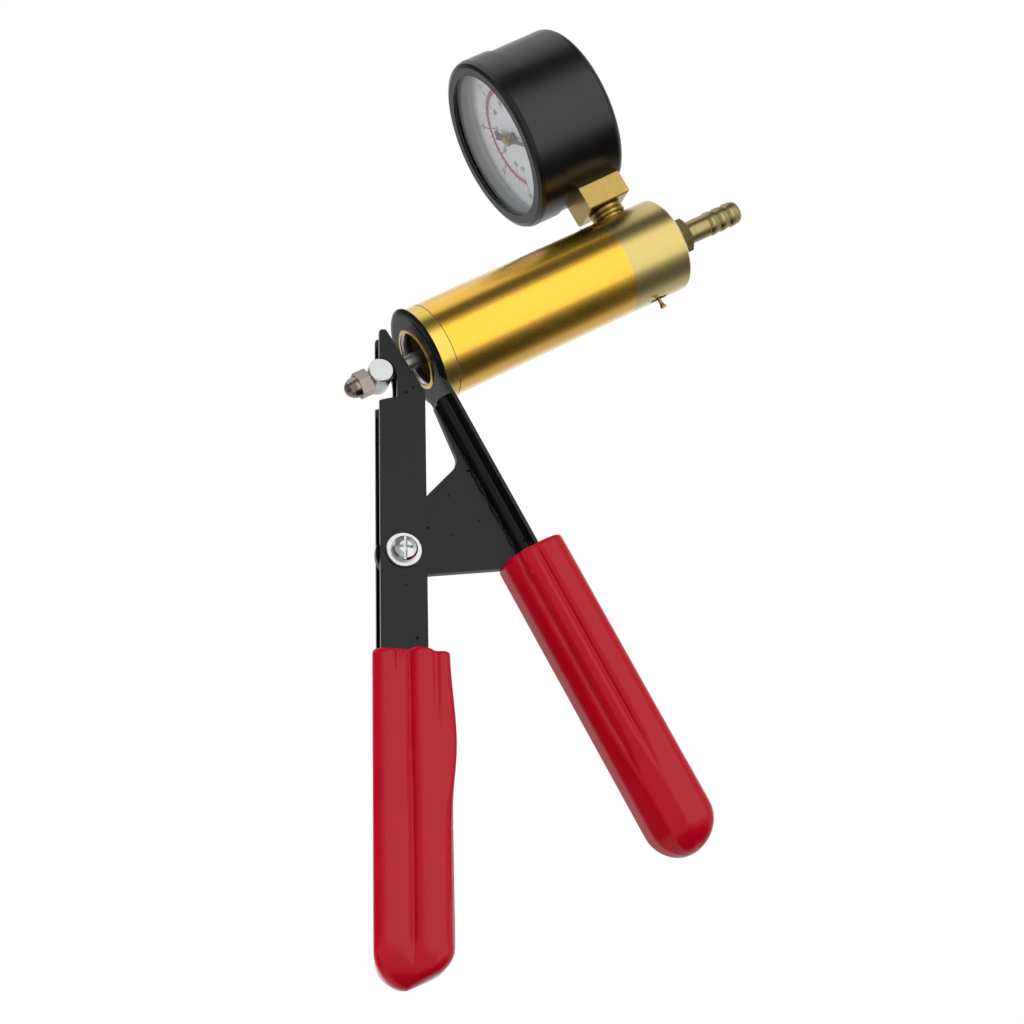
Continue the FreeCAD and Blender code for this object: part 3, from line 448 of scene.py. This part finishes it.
for side, side_name in ((-1, "front"), (1, "back")):
    add_piece(f"weld_bead_{side_name}", weld_bead(side), STRIP, enamel, "housing")

# ------------------------------------------------------------------ return spring
def spring_coil(turns, wire):
    """Round wire coiled along the return spring's place, with a closed turn at each end."""
    low, high = (Vector(corner) * 1000 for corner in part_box("return_spring"))
    radius = (high.y - low.y) / 2 - wire
    length = high.x - low.x - wire * 2
    closed = 2.2 * wire / length
    steps = turns * 30
    rings = []
    for i in range(steps + 1):
        share = i / steps
        angle = share * turns * 2 * math.pi
        advance = track(share, (0, 0), (1 / turns, closed))
        if share > 1 / turns:
            advance = closed + (1 - 2 * closed) * (share - 1 / turns) / (1 - 2 / turns)
        if share > 1 - 1 / turns:
            advance = 1 - track(1 - share, (0, 0), (1 / turns, closed))
        ring = []
        for k in range(10):
            turn = k * math.pi / 5
            out = radius + wire * math.cos(turn)
            ring.append((low.x + wire + advance * length + wire * math.sin(turn),
                         out * math.cos(angle), out * math.sin(angle)))
        rings.append(ring)
    return loft(rings)


return_coil = add_piece("return_spring_coil", spring_coil(turns=10, wire=0.8), MM, steel, "housing")
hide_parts("return_spring")
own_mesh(return_coil)

# ------------------------------------------------------------------ dial
DIAL_FACE = -15.3
ZERO = 127.5
SWEEP = 270.0
BAND = 17.2
BAND_HALF = 0.85
BAND_LIFT, INK_LIFT = 0.06, 0.09
OUTER_DIVISIONS, INNER_DIVISIONS = 30, 76


def dial_point(radius, clock, lift=BAND_LIFT):
    """Point on the dial's printing: clock is in degrees from 12 o'clock, clockwise as it is read."""
    angle = math.radians(clock)
    return Vector((DIAL_FACE - lift, -radius * math.sin(angle), radius * math.cos(angle)))


def printed_bar(shape, corners):
    """Thin raised ink from its four corners."""
    raised = [shape.verts.new(point) for point in corners]
    return shape.faces.new(raised)


def make_band():
    """Red band that follows the scales."""
    shape = bmesh.new()
    steps = 180
    for step in range(steps):
        low, high = (ZERO - SWEEP * (step + side) / steps for side in (0, 1))
        printed_bar(shape, [dial_point(BAND - BAND_HALF, low), dial_point(BAND + BAND_HALF, low),
                            dial_point(BAND + BAND_HALF, high), dial_point(BAND - BAND_HALF, high)])
    bmesh.ops.remove_doubles(shape, verts=shape.verts, dist=1e-5)
    return add_piece("dial_band", shape, GAUGE, scale_red, "housing", smooth=False)


def make_ticks():
    """Two scales: 30 divisions outside the band, 76 inside it with every second one marked."""
    shape = bmesh.new()
    scales = ((OUTER_DIVISIONS, 1, 5, 1, 1.4, 2.8), (INNER_DIVISIONS, 2, 10, -1, 1.0, 2.4))
    for count, step, every, sign, short, long in scales:
        for mark in range(0, count + 1, step):
            length = long if mark % every == 0 else short
            wide = 0.16 if mark % every == 0 else 0.09
            clock = ZERO - SWEEP * mark / count
            inner, outer = BAND + sign * 0.55, BAND + sign * (BAND_HALF + length)
            spread = math.degrees(wide / BAND)
            printed_bar(shape, [dial_point(inner, clock - spread, INK_LIFT),
                                dial_point(outer, clock - spread, INK_LIFT),
                                dial_point(outer, clock + spread, INK_LIFT),
                                dial_point(inner, clock + spread, INK_LIFT)])
    return add_piece("dial_ticks", shape, GAUGE, scale_ink, "housing", smooth=False)


def make_numbers():
    """Upright numbers beside the long ticks."""
    shape = bmesh.new()
    marks = [(str(mark), 22.6, mark / OUTER_DIVISIONS, 2.7) for mark in range(0, 31, 5)]
    marks += [(str(mark), 12.2, mark / INNER_DIVISIONS, 2.9) for mark in (*range(0, 71, 10), 76)]
    upright = Matrix(((0, 0, -1), (-1, 0, 0), (0, 1, 0))).to_4x4()
    for text, radius, share, size in marks:
        curve = bpy.data.curves.new("number", "FONT")
        curve.body, curve.size = text, size
        curve.align_x, curve.align_y = "CENTER", "CENTER"
        writing = bpy.data.objects.new("number", curve)
        bpy.context.scene.collection.objects.link(writing)
        mesh = bpy.data.meshes.new_from_object(writing)
        bpy.data.objects.remove(writing)
        spot = dial_point(radius, ZERO - SWEEP * share, INK_LIFT)
        mesh.transform(Matrix.Translation(spot) @ upright)
        shape.from_mesh(mesh)
        bpy.data.meshes.remove(mesh)
    return add_piece("dial_numbers", shape, GAUGE, scale_ink, "housing", smooth=False)


def turned(name, profile, material, body, steps=96, place=GAUGE):
    """Piece of revolution about local X from (x, radius) points."""
    rings = [[(x, radius * math.cos(math.tau * i / steps), radius * math.sin(math.tau * i / steps))
              for i in range(steps)] for x, radius in profile]
    return add_piece(name, loft(rings, False, False), place, material, body)


make_band()
make_ticks()
make_numbers()
turned("dial_liner", [(DIAL_FACE - 0.05, 27.6), (DIAL_FACE - 0.05, 27.9), (-20.85, 28.55), (-20.85, 28.2),
                      (DIAL_FACE - 0.05, 27.6)], dial_gray, "housing")
turned("pointer_hub_cap", [(-17.6, 2.25), (-18.6, 2.25), (-19.0, 2.0), (-19.25, 1.2), (-19.3, 0.0)],
       brass, "pointer", steps=32)

# ------------------------------------------------------------------ painted shade at the collar joint, and the collar mouth
# Thin dark ring over the joint behind the front collar: painted shade, standing in for the shade in the
# narrow gap there.
turned("collar_joint_painted_shade", [(5.68, 16.50), (5.68, 16.60), (5.92, 16.60), (5.92, 16.50)],
       scale_ink, "housing", place=MM)
turned("collar_mouth_sleeve", [(-0.9, 9.38), (-0.9, 9.22), (2.6, 9.22), (2.6, 9.38)],
       steel, "housing", place=MM)

# ------------------------------------------------------------------ stage, light and camera
LENS = 92.34
CAMERA_AT = Vector((-0.32463, -0.76779, -0.25671))
CAMERA_RIGHT = Vector((0.8290634, -0.2187455, -0.5145914))
CAMERA_DOWN = Vector((-0.4116860, 0.3839653, -0.8264897))
FLOOR_DROP = 1.2


def make_floor():
    """Large pale floor far below the object, which is held up in the hand."""
    mesh = bpy.data.meshes.new("floor")
    shape = bmesh.new()
    bmesh.ops.create_grid(shape, x_segments=2, y_segments=2, size=6.0)
    shape.to_mesh(mesh)
    shape.free()
    floor = bpy.data.objects.new("floor", mesh)
    floor.location.z = -FLOOR_DROP
    mesh.materials.append(surface("floor_white", FLOOR_WHITE, 0.8, scale=5, variation=0.01, bump=0.0))
    bpy.context.scene.collection.objects.link(floor)
    floor.visible_glossy = False
    floor.visible_diffuse = False


def make_world():
    """White sweep behind, a tent with dark edges on the camera's side, plain white where seen directly."""
    world = bpy.data.worlds.new("studio")
    world.use_nodes = True
    tree = world.node_tree
    background = tree.nodes["Background"]
    background.inputs["Color"].default_value = (1, 1, 1, 1)
    direction = tree.nodes.new("ShaderNodeTexCoord")

    def ramp(axis, low, high, start, stop):
        """Smooth change of brightness from start to stop along an axis of the sky."""
        along = tree.nodes.new("ShaderNodeVectorMath")
        along.operation = "DOT_PRODUCT"
        along.inputs[1].default_value = axis
        change = tree.nodes.new("ShaderNodeMapRange")
        change.interpolation_type = "SMOOTHSTEP"
        for socket, value in (("From Min", low), ("From Max", high), ("To Min", start), ("To Max", stop)):
            change.inputs[socket].default_value = value
        tree.links.new(direction.outputs["Generated"], along.inputs[0])
        tree.links.new(along.outputs["Value"], change.inputs["Value"])
        return change.outputs["Result"]

    def combine(operation, first, second):
        """One brightness from two."""
        node = tree.nodes.new("ShaderNodeMath")
        node.operation = operation
        tree.links.new(first, node.inputs[0])
        tree.links.new(second, node.inputs[1])
        return node.outputs["Value"]

    sweep = ramp((0.6, 0.9, 0.0), 0.36, 0.84, 0.10, 1.0)
    sweep = combine("MULTIPLY", sweep, ramp((0, 0, 1), -0.75, -0.20, 0.1, 1.0))
    sweep = combine("MAXIMUM", sweep, ramp((0, 0, 1), 0.78, 0.87, 0.0, 1.1))
    tent = combine("MULTIPLY", ramp((0, 0, 1), -0.88, -0.73, 0.0, 0.65),
                   ramp((0, 0, 1), 0.42, 0.60, 1.0, 0.0))
    tent = combine("MULTIPLY", tent, ramp((1, 0, 0), -0.97, -0.80, 0.0, 1.0))
    seen = tree.nodes.new("ShaderNodeLightPath").outputs["Is Camera Ray"]
    tree.links.new(combine("MAXIMUM", combine("MAXIMUM", sweep, tent), seen), background.inputs["Strength"])
    bpy.context.scene.world = world


def make_softbox(name, direction, distance, size, energy, mirrored=True):
    """Large soft light aimed at the middle of the object, and not seen itself."""
    middle = (cad_box[0] + cad_box[1]) / 2
    data = bpy.data.lights.new(name, "AREA")
    data.shape = "RECTANGLE"
    data.size, data.size_y = size
    data.energy = energy
    light = bpy.data.objects.new(name, data)
    away = Vector(direction).normalized()
    turn = away.to_track_quat("Z", "Y").to_matrix().to_4x4()
    light.matrix_world = Matrix.Translation(middle + away * distance) @ turn
    light.visible_camera = False
    light.visible_glossy = mirrored
    bpy.context.scene.collection.objects.link(light)


def make_camera():
    """Long lens that looks along the pump from a little below, rolled as the pump is held."""
    data = bpy.data.cameras.new("camera")
    data.lens = LENS
    data.sensor_width = 36.0
    data.clip_start, data.clip_end = 0.01, 20.0
    camera = bpy.data.objects.new("camera", data)
    right, up = CAMERA_RIGHT.normalized(), -CAMERA_DOWN.normalized()
    back = right.cross(up)
    turn = Matrix((right, up, back)).transposed().to_4x4()
    camera.matrix_world = Matrix.Translation(CAMERA_AT) @ turn
    bpy.context.scene.collection.objects.link(camera)
    bpy.context.scene.camera = camera


make_floor()
make_world()
make_softbox("key", (0.38, -0.90, -0.19), 1.2, (1.0, 1.65), 4.8)
make_softbox("left_fill", (-0.98, 0.05, 0.20), 1.2, (0.5, 0.5), 4.5, mirrored=False)
make_camera()
bpy.context.scene.view_settings.view_transform = "Standard"
